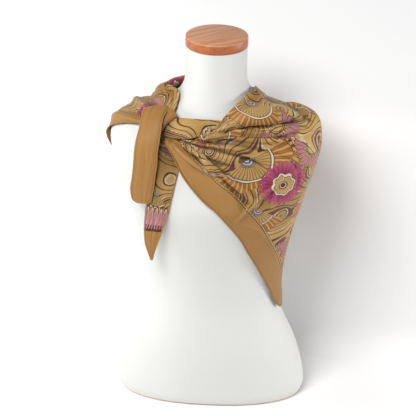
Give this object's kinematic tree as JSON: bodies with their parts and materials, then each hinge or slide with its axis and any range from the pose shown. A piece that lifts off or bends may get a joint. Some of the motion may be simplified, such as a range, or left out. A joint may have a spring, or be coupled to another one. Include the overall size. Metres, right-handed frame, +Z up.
{
  "type": "silk square scarf on a limbless dress form",
  "caption": "Silk square scarf folded to a triangle and knotted on the shoulder of a limbless dress form with a flat base and a round neck cap, for display.",
  "frame": {"origin": "middle of the form's base, on the floor", "axes": "+Z up along the form, -Y to the front, +X to the wearer's left side, where the scarf's point hangs"},
  "size_m": [0.3969, 0.2545, 0.7023],
  "materials": {
    "white_jersey": "matt white stretch jersey",
    "beech": "satin varnish",
    "printed_silk": "printed silk twill, soft sheen",
    "plain_silk": "plain border of the silk twill, soft sheen"
  },
  "bodies": {
    "root": {"form_torso": "white_jersey", "form_base_board": "beech", "form_neck_cap": "beech", "scarf_cape": "printed_silk", "scarf_neck_band": "printed_silk", "scarf_knot_loop": "plain_silk", "scarf_knot_core": "plain_silk", "scarf_tail_long": "plain_silk", "scarf_tail_pointed": "printed_silk"}
  },
  "joints": []
}
